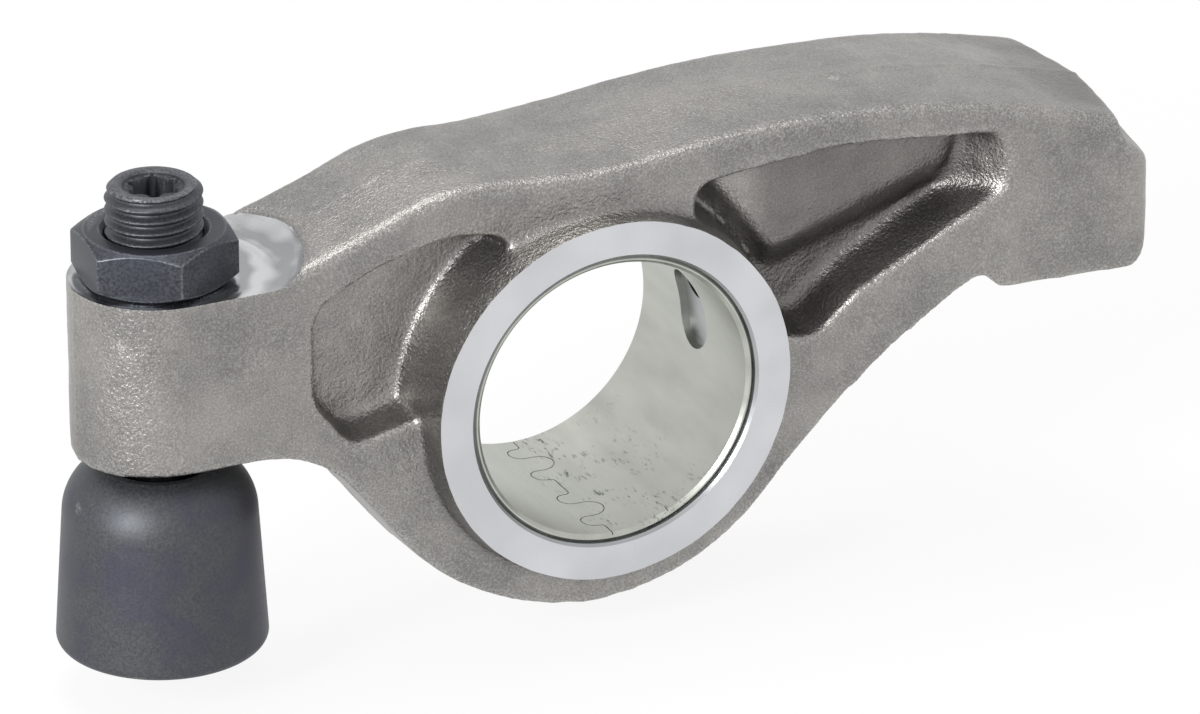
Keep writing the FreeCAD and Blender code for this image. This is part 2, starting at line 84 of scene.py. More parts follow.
arm_high = box_mm("rocker_forging")[1]
HUB_HALF = arm_high.y
bush_high = box_mm("pivot_bush")[1]
BUSH_WALL = 1.0
BORE_R = bush_high.x
BUSH_R = BORE_R - BUSH_WALL
BUSH_HALF = bush_high.y
SEAT_Z = box_mm("lock_nut")[0].z
screw_low, screw_high = box_mm("adjusting_screw")
SCREW_X = (screw_low.x + screw_high.x) / 2
SCREW_TOP_Z = screw_high.z
THREAD_R = (screw_high.x - screw_low.x) / 2
cup_low, cup_high = box_mm("pushrod_socket")
CUP_X = (cup_low.x + cup_high.x) / 2
CUP_R = (cup_high.x - cup_low.x) / 2
print("bore radius", round(BORE_R, 2), "screw axis", round(SCREW_X, 2), "seat height", round(SEAT_Z, 2))

# %% [markdown]
# An operator acts on all that is selected, and the loaded model comes in selected. Every step therefore
# starts by picking one piece alone. Modifiers are applied at once, so each step leaves a plain mesh.

# %% Picking a piece and applying a modifier


def pick(*pieces):
    """Select these pieces alone. The last one is active."""
    if bpy.context.object and bpy.context.object.mode != "OBJECT":
        bpy.ops.object.mode_set(mode="OBJECT")
    bpy.ops.object.select_all(action="DESELECT")
    for piece in pieces:
        piece.select_set(True)
        bpy.context.view_layer.objects.active = piece


def apply_modifier(piece, kind, **settings):
    """Add one modifier with its settings and apply it to the mesh."""
    pick(piece)
    modifier = piece.modifiers.new(kind.lower(), kind)
    for name, value in settings.items():
        setattr(modifier, name, value)
    bpy.ops.object.modifier_apply(modifier=modifier.name)
    return piece


def tidy_mesh(piece, distance=0.001):
    """Merge doubled vertices and point the faces outwards."""
    pick(piece)
    bpy.ops.object.mode_set(mode="EDIT")
    bpy.ops.mesh.select_all(action="SELECT")
    bpy.ops.mesh.remove_doubles(threshold=distance * MM)
    bpy.ops.mesh.normals_make_consistent(inside=False)
    bpy.ops.object.mode_set(mode="OBJECT")
    return piece


def smooth_by_angle(piece, degrees):
    pick(piece)
    bpy.ops.object.shade_smooth_by_angle(angle=math.radians(degrees))
    return piece


# %% [markdown]
# Most small pieces here are turned on a lathe. In Blender that is a profile spun round an axis. The
# profile starts as a plane merged to one vertex, and that vertex is extruded from station to station,
# each a radius and a height in millimetres. Spin then sweeps it round, and merging doubles closes it.

# %% Turning a profile into a round piece


def turned(name, stations, centre=(0, 0, 0), axis="Z", steps=96):
    """A round piece from a closed half section of (radius, height) stations."""
    along = Vector((0, 1, 0)) if axis == "Y" else Vector((0, 0, 1))
    middle = Vector(metres(*centre))
    bpy.ops.object.select_all(action="DESELECT")
    bpy.ops.mesh.primitive_plane_add(size=MM)
    piece = bpy.context.object
    piece.name = piece.data.name = name
    points = [middle + Vector((radius * MM, 0, 0)) + along * height * MM for radius, height in stations]
    bpy.ops.object.mode_set(mode="EDIT")
    bpy.ops.mesh.merge(type="CENTER")
    bpy.ops.transform.translate(value=points[0])
    for start, end in zip(points, points[1:]):
        bpy.ops.mesh.extrude_vertices_move(TRANSFORM_OT_translate={"value": end - start})
    bpy.ops.mesh.select_all(action="SELECT")
    bpy.ops.mesh.spin(steps=steps, angle=2 * math.pi, center=middle, axis=along)
    bpy.ops.object.mode_set(mode="OBJECT")
    return tidy_mesh(piece)


def arc(centre, radius, start, end, count):
    """Stations along an arc of a profile, from one angle to another in degrees."""
    angles = [math.radians(start + (end - start) * i / count) for i in range(count + 1)]
    return [(centre[0] + radius * math.cos(a), centre[1] + radius * math.sin(a)) for a in angles]


def mirrored(half):
    """A whole profile from the stations of its upper half."""
    return [(radius, -height) for radius, height in reversed(half)] + half


# %% [markdown]
# What isn't round starts as an outline instead: the same chain of extruded vertices, filled to a face
# and pushed along a vector, which may lean for a draft. A plain block and a drill start as primitives.

# %% Outlines, blocks and drills


def drawn(name, points):
    """A chain of edges through points in millimetres, left selected in edit mode."""
    pick()
    bpy.ops.mesh.primitive_plane_add(size=MM)
    piece = bpy.context.object
    piece.name = piece.data.name = name
    places = [Vector(metres(*point)) for point in points]
    bpy.ops.object.mode_set(mode="EDIT")
    bpy.ops.mesh.merge(type="CENTER")
    bpy.ops.transform.translate(value=places[0])
    for start, end in zip(places, places[1:]):
        bpy.ops.mesh.extrude_vertices_move(TRANSFORM_OT_translate={"value": end - start})
    bpy.ops.mesh.select_all(action="SELECT")
    return piece


def prism(name, outline, rise):
    """A solid from an outline of points, pushed along a vector."""
    piece = drawn(name, outline)
    bpy.ops.mesh.edge_face_add()
    bpy.ops.mesh.select_all(action="SELECT")
    bpy.ops.mesh.extrude_region_move(TRANSFORM_OT_translate={"value": Vector(metres(*rise))})
    bpy.ops.object.mode_set(mode="OBJECT")
    return tidy_mesh(piece)


def block(name, low, high):
    """A block between two corners."""
    pick()
    middle = [(a + b) / 2 for a, b in zip(low, high)]
    size = [b - a for a, b in zip(low, high)]
    bpy.ops.mesh.primitive_cube_add(size=1, location=metres(*middle), scale=metres(*size))
    bpy.ops.object.transform_apply(location=True, rotation=True, scale=True)
    bpy.context.object.name = name
    return bpy.context.object


def drill(name, start, end, radius):
    """A round cutter between two points."""
    pick()
    begin, finish = Vector(metres(*start)), Vector(metres(*end))
    along = finish - begin
    bpy.ops.mesh.primitive_cylinder_add(vertices=64, radius=radius * MM, depth=along.length,
                                        location=(begin + finish) / 2,
                                        rotation=along.to_track_quat("Z", "Y").to_euler())
    bpy.ops.object.transform_apply(location=True, rotation=True, scale=True)
    bpy.context.object.name = name
    return bpy.context.object


# %% [markdown]
# A drill, a mill and a lathe tool all do the same to a solid: they take away where they pass. So each
# machining step is a Boolean modifier with a cutter, and the cutter is deleted when its work is done.
# A cutter carries the finish that it leaves, because the faces it cuts keep its material.

# %% Cutting with tools


def combine(piece, tool, operation="DIFFERENCE"):
    """Cut a tool from a piece, or join or intersect the two, and delete the tool."""
    apply_modifier(piece, "BOOLEAN", object=tool, operation=operation, solver="MANIFOLD")
    bpy.data.objects.remove(tool)
    return piece


def finished(piece, *finishes, index=0):
    """Give a piece its list of finishes and put all its faces in one of them."""
    piece.data.materials.clear()
    for finish in finishes:
        piece.data.materials.append(finish)
    for face in piece.data.polygons:
        face.material_index = index
    return piece


# %% [markdown]
# Finishes are shader nodes. Colours are written as sRGB hex values, as read off a picture, and one
# function turns them linear. Pattern sizes are given in millimetres and turned into a noise's scale.

# %% Colours and pattern sizes


def colour(hex_value):
    """A linear colour from an sRGB hex value such as 7f7a76."""
    channels = [int(hex_value[i:i + 2], 16) / 255 for i in (0, 2, 4)]
    return tuple(c / 12.92 if c <= 0.04045 else ((c + 0.055) / 1.055) ** 2.4 for c in channels) + (1.0,)


def scale_of(size_mm):
    """Noise scale for features of a size in millimetres, on coordinates in metres."""
    return 1.0 / (size_mm * MM)


# %% [markdown]
# One small function adds any node. Its sockets are given by name, or as a list in the order that the
# node shows them. A socket takes a value, an output, or a whole node, which stands for its first output
# in use. Four nodes do most of the work. TexNoise gives patches. MapRange turns a range of a value into
# another and holds it at both ends, and a second value as its last socket multiplies the two. Mix lays
# its socket 7 over its socket 6 by a share, and Bump turns a value into a relief.

# %% Adding a node


def connect(tree, node, sockets):
    """Give a node's sockets their values, or link them to other nodes."""
    for name, value in sockets.items() if isinstance(sockets, dict) else enumerate(sockets):
        if isinstance(value, bpy.types.Node):
            value = next(output for output in value.outputs if output.enabled)
        if isinstance(value, bpy.types.NodeSocket):
            tree.links.new(value, node.inputs[name])
        else:
            node.inputs[name].default_value = value
    return node


def add(tree, kind, sockets=(), **settings):
    """Add one node with its settings and links."""
    node = tree.nodes.new("ShaderNode" + kind)
    for name, value in settings.items():
        setattr(node, name, value)
    return connect(tree, node, sockets)


# %% [markdown]
# Every finish starts with the same three nodes, and ends by feeding the shader's own sockets. Patterns
# read object coordinates, so they stay on the piece when it moves.

# %% Start and end of a finish


def blank_material(name):
    """An empty material with its output, shader, and object coordinates."""
    material = bpy.data.materials.new(name)
    material.use_nodes = True
    tree = material.node_tree
    tree.nodes.clear()
    shader = add(tree, "BsdfPrincipled")
    add(tree, "OutputMaterial", {"Surface": shader})
    return material, tree, shader, add(tree, "TexCoord").outputs["Object"]


def feed(tree, shader, **sockets):
    """Set the shader's own sockets, named with underscores for spaces."""
    connect(tree, shader, {name.replace("_", " "): value for name, value in sockets.items()})


# %% [markdown]
# The camera stands a little over a metre off with a long lens, to the left of the bore's axis and 24
# degrees above it, as a catalogue picture of a small heavy part is taken.

# %% Camera
LENS_MM = 286.8
CAMERA_PLACE = (-455.8, -975.0, 487.6)
CAMERA_AZIMUTH = -25.3
CAMERA_ELEVATION = 24.39

lens = bpy.data.cameras.new("camera")
lens.lens = LENS_MM
lens.sensor_width = 36.0
lens.clip_start = 0.05
lens.clip_end = 20.0
camera = bpy.data.objects.new("camera", lens)
camera.location = metres(*CAMERA_PLACE)
camera.rotation_euler = (math.radians(90 - CAMERA_ELEVATION), 0, math.radians(CAMERA_AZIMUTH))
bpy.context.scene.collection.objects.link(camera)
bpy.context.scene.camera = camera
print("camera", round(camera.location.length, 3), "m from the bore")

# %% [markdown]
# Bare metal is lit by what it reflects. The world is white to the camera and to reflections, and dimmer
# as a lamp, so the floor keeps a soft shadow. The floor glows to the same rays, so it looks as white as
# the world. The arm is held by its bore, and the floor lies as low as the foot reaches when the screw is
# turned all the way down.

# %% World and floor
scene = bpy.context.scene
scene.view_settings.view_transform = "Standard"

WHITE = (1.0, 1.0, 1.0, 1.0)


def seen_directly(tree):
    """1 for what the camera, a reflection or a clear body sees, 0 for light on its way to a surface."""
    path = add(tree, "LightPath")
    seen = path.outputs["Is Camera Ray"]
    for ray in ("Is Glossy Ray", "Is Transmission Ray"):
        seen = add(tree, "Math", [seen, path.outputs[ray]], operation="MAXIMUM")
    return seen


WORLD_AS_LAMP = 0.55
world = bpy.data.worlds.new("studio")
scene.world = world
world.use_nodes = True
tree = world.node_tree
tree.nodes.clear()
strength = add(tree, "MapRange", [seen_directly(tree), 0.0, 1.0, WORLD_AS_LAMP, 1.0])
background = add(tree, "Background", {"Color": WHITE, "Strength": strength})
add(tree, "OutputWorld", {"Surface": background})

FLOOR_R = 4000.0
FOOT_REACH = 5.2
FLOOR_GLOW = 0.88
pick()
bpy.ops.mesh.primitive_circle_add(vertices=128, radius=FLOOR_R * MM, fill_type="NGON")
floor = bpy.context.object
floor.name = "floor"
floor.location.z = cad_box[0][2] - FOOT_REACH * MM
floor_paint, tree, shader, place = blank_material("matt_white_floor")
feed(tree, shader, Base_Color=colour("f7f7f7"), Roughness=0.8)
glow = add(tree, "Emission", {"Color": WHITE, "Strength": 1.0})
glowing = add(tree, "MapRange", [seen_directly(tree), 0.0, 1.0, 0.0, FLOOR_GLOW])
lit = add(tree, "MixShader", [glowing, shader, glow])
connect(tree, tree.nodes["Material Output"], {"Surface": lit})
floor.data.materials.append(floor_paint)
print("floor at", round(floor.location.z / MM, 2), "mm")

# %% [markdown]
# A softbox is a square area lamp that faces the part. A large one overhead lifts the top faces above the
# sides, and a smaller one from the front left draws the grain of the blasted skin.

# %% Softboxes


def softbox(name, place, size, power, tint):
    """A square area lamp that looks at the part."""
    lamp = bpy.data.lights.new(name, "AREA")
    lamp.size = size * MM
    lamp.energy = power
    lamp.color = tint
    holder = bpy.data.objects.new(name, lamp)
    holder.location = metres(*place)
    holder.rotation_euler = (-holder.location).to_track_quat("-Z", "Y").to_euler()
    scene.collection.objects.link(holder)


softbox("overhead", (-100, 200, 1100), 500, 4.2, (1.0, 0.995, 0.975))
softbox("front_left", (-950, -500, 450), 420, 11.5, (1.0, 1.0, 1.0))

# %% [markdown]
# ## Finishes
#
# The forging's skin: hot-forged steel, shot-blasted. Steel shot leaves a warm grey surface of tiny
# overlapping dents, a third to half a millimetre across. Its edges are lighter, partly burnished and
# partly a painted glint, and its creases carry painted shade, both found by pointiness. The darkest
# painted shade lies down in the narrow right pocket, which is found by its place on the arm. Specks
# colour the skin and break up its bright edges. They are drawn 0.26 mm across, two pixels of the
# picture, because finer ones wouldn't show.

# %% Shot-blasted forging
DENT = 0.45
SPECK = 0.26
CLOUD = 12.0
WAVE = 2.2
# Strength of the painted shade deep in the right pocket.
POCKET_SHADE = 0.43


def pocket_shade(tree, place):
    """Painted shade, full deep in the right pocket, fading out at its mouth and at both ends."""
    parts = add(tree, "SeparateXYZ", [place])
    depth = add(tree, "Math", [parts.outputs["Y"]], operation="ABSOLUTE")
    share = POCKET_SHADE
    borders = ((depth, 12.8, 9.5), (parts.outputs["X"], 20.5, 24), (parts.outputs["Z"], 27.5, 25.5))
    for value, none, full in borders:
        share = add(tree, "MapRange", [value, *metres(none, full), 0.0, share])
    return share


def shot_blasted():
    """Dented grey steel, edges partly burnished and partly a painted glint, painted shade in its hollows."""
    material, tree, shader, place = blank_material("shot_blasted_forging")
    dents = add(tree, "TexNoise", {"Vector": place, "Scale": scale_of(DENT), "Detail": 2.0, "Roughness": 0.6})
    specks = add(tree, "TexNoise", {"Vector": place, "Scale": scale_of(SPECK), "Detail": 2.0,
                                    "Roughness": 0.6})
    patches = add(tree, "TexNoise", {"Vector": place, "Scale": scale_of(CLOUD), "Detail": 6.0,
                                     "Roughness": 0.68})
    edges = add(tree, "NewGeometry").outputs["Pointiness"]

    lighter = add(tree, "MapRange", [patches, 0.36, 0.64, 0.0, 1.0])
    base = add(tree, "Mix", {0: lighter, 6: colour("7f7d7b"), 7: colour("a3a09c")}, data_type="RGBA")
    middle = add(tree, "MapRange", [specks, 0.32, 0.5, 0.0, 1.0])
    grain = add(tree, "Mix", {0: middle, 6: colour("64615f"), 7: colour("8c8a88")}, data_type="RGBA")
    bright = add(tree, "MapRange", [specks, 0.5, 0.72, 0.0, 1.0])
    grain = add(tree, "Mix", {0: bright, 6: grain, 7: colour("c8c7c5")}, data_type="RGBA")
    skin = add(tree, "Mix", {0: 0.38, 6: base, 7: grain}, data_type="RGBA")

    # Lighter edges: partly burnished wear, partly a painted glint, broken up by the specks.
    broken = add(tree, "MapRange", [specks, 0.42, 0.56, 0.075, 0.75])
    wear_and_glint = add(tree, "MapRange", [edges, 0.505, 0.56, 0.0, broken])
    # Painted shade in the creases, which pointiness finds.
    crease_shade = add(tree, "MapRange", [edges, 0.495, 0.44, 0.0, 0.75])
    # Laid over the skin: the edges' wear and painted glint, the creases' painted shade, and painted shade
    # deep in the right pocket.
    for share, tint in ((wear_and_glint, "c4c2bf"), (crease_shade, "4e4c4b"), (pocket_shade(tree, place), "4f4b4a")):
        skin = add(tree, "Mix", {0: share, 6: skin, 7: colour(tint)}, data_type="RGBA")

    waves = add(tree, "TexNoise", {"Vector": place, "Scale": scale_of(WAVE)})
    relief = add(tree, "Bump", {"Height": waves, "Distance": 0.07 * MM})
    relief = add(tree, "Bump", {"Height": dents, "Distance": 0.16 * MM, "Normal": relief})
    feed(tree, shader, Base_Color=skin, Metallic=1.0, Normal=relief,
         Roughness=add(tree, "MapRange", [specks, 0.3, 0.7, 0.3, 0.44]))
    return material


# %% [markdown]
# The hub's faces are fine-turned: bright, almost white, with rings too fine to see. The seat under the
# nut is milled, and the cutter's arcs show on it as fine marks, and broad bands of light and dark are
# painted on as the arcs' reflection. Both are rings about an axis, a sine of the distance from it, with a
# little drift so they look cut.

# %% Turned, milled and ground steel
DRIFT = 6.0
REFLECTION_WANDER = 5.0
MARK_WANDER = 0.3
CLOUDING = 11.0
BLOTCH = 2.5


def rings_about(tree, place, axis_point, along_y, pitch_mm, wander_mm):
    """Circular tool marks about an axis through a point, a pitch apart."""
    centred = add(tree, "VectorMath", [place, metres(*axis_point)], operation="SUBTRACT")
    flat = (1, 0, 1) if along_y else (1, 1, 0)
    across = add(tree, "VectorMath", [centred, flat], operation="MULTIPLY")
    radius = add(tree, "VectorMath", [across], operation="LENGTH")
    drift = add(tree, "TexNoise", {"Vector": place, "Scale": scale_of(DRIFT), "Detail": 1.0})
    moved = add(tree, "Math", [drift, wander_mm * MM, radius], operation="MULTIPLY_ADD")
    turns = add(tree, "Math", [moved, 2 * math.pi / (pitch_mm * MM)], operation="MULTIPLY")
    return add(tree, "Math", [turns], operation="SINE")


def machined_steel(name, light, dark, axis_point, along_y, pitch_mm, depth_mm, roughness, reflection_arcs_mm=None):
    """Bright cut steel with circular tool marks, and painted reflection arcs of light and dark if they have a
    size.
    """
    material, tree, shader, place = blank_material(name)
    if reflection_arcs_mm:
        # Painted reflection: broad arcs of light and dark laid into the colour.
        reflection_sweeps = rings_about(tree, place, axis_point, along_y, reflection_arcs_mm, REFLECTION_WANDER)
        clouds = add(tree, "MapRange", [reflection_sweeps, -1.0, 1.0, 0.3, 0.7])
    else:
        clouds = add(tree, "TexNoise", {"Vector": place, "Scale": scale_of(CLOUDING)})
    lighter = add(tree, "MapRange", [clouds, 0.35, 0.65, 0.0, 1.0])
    blotches = add(tree, "TexNoise", {"Vector": place, "Scale": scale_of(BLOTCH), "Detail": 3.0})
    marks = rings_about(tree, place, axis_point, along_y, pitch_mm, MARK_WANDER)
    feed(tree, shader, Metallic=1.0,
         Base_Color=add(tree, "Mix", {0: lighter, 6: colour(dark), 7: colour(light)}, data_type="RGBA"),
         Roughness=add(tree, "MapRange", [blotches, 0.3, 0.7, roughness - 0.05, roughness + 0.05]),
         Normal=add(tree, "Bump", {"Height": marks, "Distance": depth_mm * MM}))
    return material


# %% [markdown]
# The bush is rolled from plated strip: a satin tin-like grey with a hint of green. Years on a shaft or
# careless storage leave a band of tiny black fretting specks along the bottom of the bore, where the
# load was. The band is chosen by the angle round the bore, so it stays put from every view. Streaks and
# specks are stretched along the bore, by a Mapping node that shrinks that coordinate.

# %% Bush metal
LOADED_ANGLE = math.radians(-74)
FRETTING_SPECK = 0.42
FRETTING_PATCH = 4.5
STREAK = 3.0
ROLLED_GRAIN = 0.8


def bush_metal():
    """Satin plated strip with a band of fretting specks."""
    material, tree, shader, place = blank_material("plated_bush_strip")
    stretch = add(tree, "Mapping", {"Vector": place, "Scale": (1.0, 0.25, 1.0)})
    streaks = add(tree, "TexNoise", {"Vector": stretch, "Scale": scale_of(STREAK), "Detail": 3.0})
    lighter = add(tree, "MapRange", [streaks, 0.3, 0.7, 0.0, 1.0])
    metal = add(tree, "Mix", {0: lighter, 6: colour("adafa8"), 7: colour("c0c2bb")}, data_type="RGBA")

    parts = add(tree, "SeparateXYZ", [place])
    angle = add(tree, "Math", [parts.outputs["Z"], parts.outputs["X"]], operation="ARCTAN2")
    from_low = add(tree, "Math", [angle, LOADED_ANGLE], operation="SUBTRACT")
    away = add(tree, "Math", [from_low], operation="ABSOLUTE")
    spots = add(tree, "MapRange", [away, 0.12, 0.62, 0.85, 0.0])
    patches = add(tree, "TexNoise", {"Vector": place, "Scale": scale_of(FRETTING_PATCH)})
    spots = add(tree, "MapRange", [patches, 0.45, 0.6, 0.0, spots])
    specks = add(tree, "TexNoise", {"Vector": stretch, "Scale": scale_of(FRETTING_SPECK), "Detail": 3.0,
                                    "Roughness": 0.7})
    spots = add(tree, "MapRange", [specks, 0.55, 0.66, 0.0, spots])

    grain = add(tree, "TexNoise", {"Vector": stretch, "Scale": scale_of(ROLLED_GRAIN)})
    feed(tree, shader, Metallic=1.0,
         Base_Color=add(tree, "Mix", {0: spots, 6: metal, 7: colour("34322e")}, data_type="RGBA"),
         Roughness=add(tree, "MapRange", [streaks, 0.3, 0.7, 0.3, 0.42]),
         Normal=add(tree, "Bump", {"Height": grain, "Distance": 0.006 * MM}))
    return material


# %% [markdown]
# The screw and nut are dark phosphated: a crystal coating that drinks light, bluish grey, lighter on
# crests and corners, partly rubbed and partly a painted glint, and darker in the drive. The foot is
# hardened and left with its heat tint, which gives the dark grey a bluish cast in patches. The coating
# lets less of the metal through, so it is a little less metallic than bare steel. Its crystals are much
# too fine to show, so they are drawn 0.35 mm across.

# %% Dark finishes
CRYSTAL = 0.35
TINT_PATCH = 6.0


def dark_steel(name, base, light, tint, tint_share, roughness):
    """Dark coated steel, edges partly rubbed and partly a painted glint, with patches of another tint."""
    material, tree, shader, place = blank_material(name)
    fine = add(tree, "TexNoise", {"Vector": place, "Scale": scale_of(CRYSTAL)})
    lighter = add(tree, "MapRange", [fine, 0.3, 0.75, 0.0, 1.0])
    skin = add(tree, "Mix", {0: lighter, 6: colour(base), 7: colour(light)}, data_type="RGBA")
    patches = add(tree, "TexNoise", {"Vector": place, "Scale": scale_of(TINT_PATCH)})
    tinted = add(tree, "MapRange", [patches, 0.45, 0.7, 0.0, tint_share])
    # Lighter edges: partly rubbed wear, partly a painted glint.
    broken = add(tree, "MapRange", [fine, 0.42, 0.6, 0.06, 0.6])
    edges = add(tree, "NewGeometry").outputs["Pointiness"]
    wear_and_glint = add(tree, "MapRange", [edges, 0.51, 0.58, 0.0, broken])
    for share, over in ((tinted, tint), (wear_and_glint, "85878b")):
        skin = add(tree, "Mix", {0: share, 6: skin, 7: colour(over)}, data_type="RGBA")
    feed(tree, shader, Base_Color=skin, Metallic=0.75,
         Roughness=add(tree, "MapRange", [fine, 0.3, 0.7, roughness - 0.06, roughness + 0.06]),
         Normal=add(tree, "Bump", {"Height": fine, "Distance": 0.02 * MM}))
    return material


# %% [markdown]
# Each finish is made once and shared. The cut steels get their light and dark end, the axis that their
# tool marks run round, the marks' pitch and depth, and a roughness. The dark ones get their dark and
# light end, a tint for patches with its share, and a roughness.

# %% All finishes of the part
FORGED = shot_blasted()
FACED = machined_steel("fine_turned_face", "d2d3d6", "c6c7ca", (0, 0, 0), True, 0.5, 0.0006, 0.3)
# The milled seat's last number sizes its painted reflection arcs.
MILLED = machined_steel("milled_seat", "cccdcf", "9b9c9e", (SCREW_X, 0, 0), False, 1.1, 0.012, 0.27, 5.0)
BORED = machined_steel("bored_steel", "aeb0b2", "989a9c", (0, 0, 0), True, 0.4, 0.001, 0.35)
BUSH = bush_metal()
PHOSPHATED = dark_steel("phosphated_nut", "303339", "44474d", "3f434c", 0.6, 0.44)
ROLLED = dark_steel("phosphated_thread", "3c3e43", "55575c", "484a50", 0.5, 0.46)
RUBBED = dark_steel("rubbed_phosphate", "383b41", "6c6f76", "3c3f45", 0.95, 0.4)
# A darker finish for the faces inside the screw's drive.
RECESS = dark_steel("dark_drive_recess", "1f2124", "2c2e32", "25272b", 0.5, 0.5)
HEAT_TINTED = dark_steel("heat_tinted_steel", "45474b", "57595c", "454453", 0.7, 0.5)
HARDENED = machined_steel("ground_hardened_steel", "a8a9ac", "8d8e92", (CUP_X, 0, 0), False, 0.3, 0.001, 0.3)
made = (FORGED, FACED, MILLED, BORED, BUSH, PHOSPHATED, ROLLED, RUBBED, RECESS, HEAT_TINTED, HARDENED)
print("finishes:", [finish.name for finish in made])

# %% [markdown]
# ## The forging
#
# The real arm is forged between two dies, trimmed, blasted and only then machined. The same order works
# here. The construction mesh gets its stock back where tools will cut: a slug through the hub, a cap and
# a saddle on the boss, a core in the cup's seat. A voxel remesh fuses all of it into one even skin,
# smoothing rounds it as dies do, and soft displacements make it uneven. Then the cutters make crisp
# faces in that soft skin.

# %% Blank with its machining stock


def merged_copy(node, name):
    """A closed copy of a construction mesh, whose triangles are loose."""
    mesh = NODES[node].data.copy()
    piece = bpy.data.objects.new(name, mesh)
    scene.collection.objects.link(piece)
    return tidy_mesh(piece)


STOCK = 1.5
HUB_FACE_R = 23.6
HUB_DRAFT = math.tan(math.radians(7))
forging = merged_copy("rocker_forging", "forged_arm")
rim_r = HUB_FACE_R - STOCK * HUB_DRAFT
root_r = HUB_FACE_R + STOCK * HUB_DRAFT
half = [(root_r, HUB_HALF - STOCK), (rim_r, HUB_HALF + STOCK), (0, HUB_HALF + STOCK)]
slug = turned("hub_stock", mirrored(half), axis="Y")

BOSS_R = 10.7
BOSS_STOCK = 3.0
SADDLE_LENGTH = 13.5
cap_z = SEAT_Z + BOSS_STOCK
cap = turned("boss_stock", [(0, 0), (BOSS_R, 0), (BOSS_R, cap_z), (0, cap_z)], (SCREW_X, 0, 0))
saddle = block("saddle_stock", (SCREW_X, -BOSS_R, SEAT_Z - 1), (SCREW_X + SADDLE_LENGTH, BOSS_R, cap_z))

core_r = CUP_R + 1.0
core_low = cup_low.z - 0.4
core_high = cup_high.z + 2.0
core = turned("cup_stock", [(0, core_low), (core_r, core_low), (core_r, core_high), (0, core_high)],
              (CUP_X, 0, 0))
print("stock:", [piece.name for piece in (slug, cap, saddle, core)])

# %% [markdown]
# The nose ends in a step: the crown stops at a steep wall, and a sloped shoulder leads on to the end
# face. The wall leans back from the middle plane to both sides, for the dies. The crown is lengthened a
# little by a slice of itself, and then a leaning prism takes the step away on each side.

# %% The step on the nose
NOSE_DRAFT = math.tan(math.radians(8))
CROWN_FALL = math.tan(math.radians(14.5))
CROWN_LONGER = 3.0
STEP_HALF = 18.0
SLICE_LOW = (62, -20, 19)
SLICE_HIGH = (68, 20, 40)
longer = merged_copy("rocker_forging", "crown_slice")
combine(longer, block("slice_window", SLICE_LOW, SLICE_HIGH), "INTERSECT")
pick(longer)
bpy.ops.object.mode_set(mode="EDIT")
bpy.ops.mesh.select_all(action="SELECT")
bpy.ops.transform.translate(value=metres(CROWN_LONGER, 0, -CROWN_LONGER * CROWN_FALL))
bpy.ops.object.mode_set(mode="OBJECT")
combine(forging, longer, "UNION")
STEP = [(69.7, 29.6), (72.3, 22.2), (72.9, 21.3), (74.2, 20.3), (75.2, 19.3), (76.0, 18.3), (82.0, 18.3),
        (82.0, 29.6)]
for side in (-1, 1):
    outline = [(x, 0, z) for x, z in STEP]
    combine(forging, prism("step_cutter", outline, (-STEP_HALF * NOSE_DRAFT, STEP_HALF * side, 0)))
print("step: wall and shoulder from x", STEP[0][0], "to", STEP[5][0], "mm")

# %% [markdown]
# The right pocket doesn't end in a wall: its floor climbs to the flange in a hollow ramp, like the tip
# of a spoon. A wedge with that slope, drawn from above, fills the end of the pocket on both sides.

# %% The ramp at the end of the right pocket
RAMP = [(45.8, 5.2), (48.0, 5.6), (49.6, 6.8), (51.4, 9.2), (53.3, 12.0), (54.8, 13.93), (57.5, 14.12),
        (57.5, 4.0), (45.8, 4.0)]
RAMP_LOW = 12.0
RAMP_HIGH = 26.6
wedges = []
for side in (-1, 1):
    outline = [(x, side * y, RAMP_LOW) for x, y in RAMP]
    wedges.append(prism("ramp_wedge", outline, (0, 0, RAMP_HIGH - RAMP_LOW)))
print("ramps:", len(wedges), "wedges of", RAMP_HIGH - RAMP_LOW, "mm height")

# %% [markdown]
# All stock is joined to the blank and remeshed into one skin, about half a millimetre to a face, and
# smoothed. The grain of the blasting is finer than that, so it is left to the finish.

# %% One even skin
VOXEL = 0.48
pick(slug, cap, saddle, core, *wedges, forging)
bpy.ops.object.join()
apply_modifier(forging, "REMESH", mode="VOXEL", voxel_size=VOXEL * MM)
apply_modifier(forging, "SMOOTH", factor=0.5, iterations=10)
print("blank:", len(forging.data.polygons), "faces")

# %% [markdown]
# The pockets are smoothed further, because punches for deep pockets have the largest radii. A vertex
# group says how far each vertex takes part, and its weights come from the vertex's place.

# %% Softer pockets and ramps
POCKET_ENDS = (-39, 57)
POCKET_FULL = 7.0
POCKET_NONE = 11.0
RAMP_FADE = 1.5


def share_by_place(piece, name, share):
    """A vertex group whose weights come from a function of the place in millimetres."""
    group = piece.vertex_groups.new(name=name)
    for vertex in piece.data.vertices:
        weight = share(vertex.co / MM)
        if weight > 0:
            group.add([vertex.index], min(weight, 1.0), "REPLACE")
    return name


def deep_in_pocket(place):
    """All of it deep inside, less towards the mouth, and none on the hub or past the pockets' ends."""
    beside_hub = math.hypot(place.x, place.z) > HUB_FACE_R + 1
    if not beside_hub or not POCKET_ENDS[0] < place.x < POCKET_ENDS[1]:
        return 0.0
    return 1.0 - (abs(place.y) - POCKET_FULL) / (POCKET_NONE - POCKET_FULL)


def on_ramp(place):
    """How far inside the ramp's box a place is, as a share of the fade at its border."""
    inside = min(place.x - 48.5, 58.0 - place.x, place.z - 14.5, 26.5 - place.z, abs(place.y) - 4.5)
    return inside / RAMP_FADE


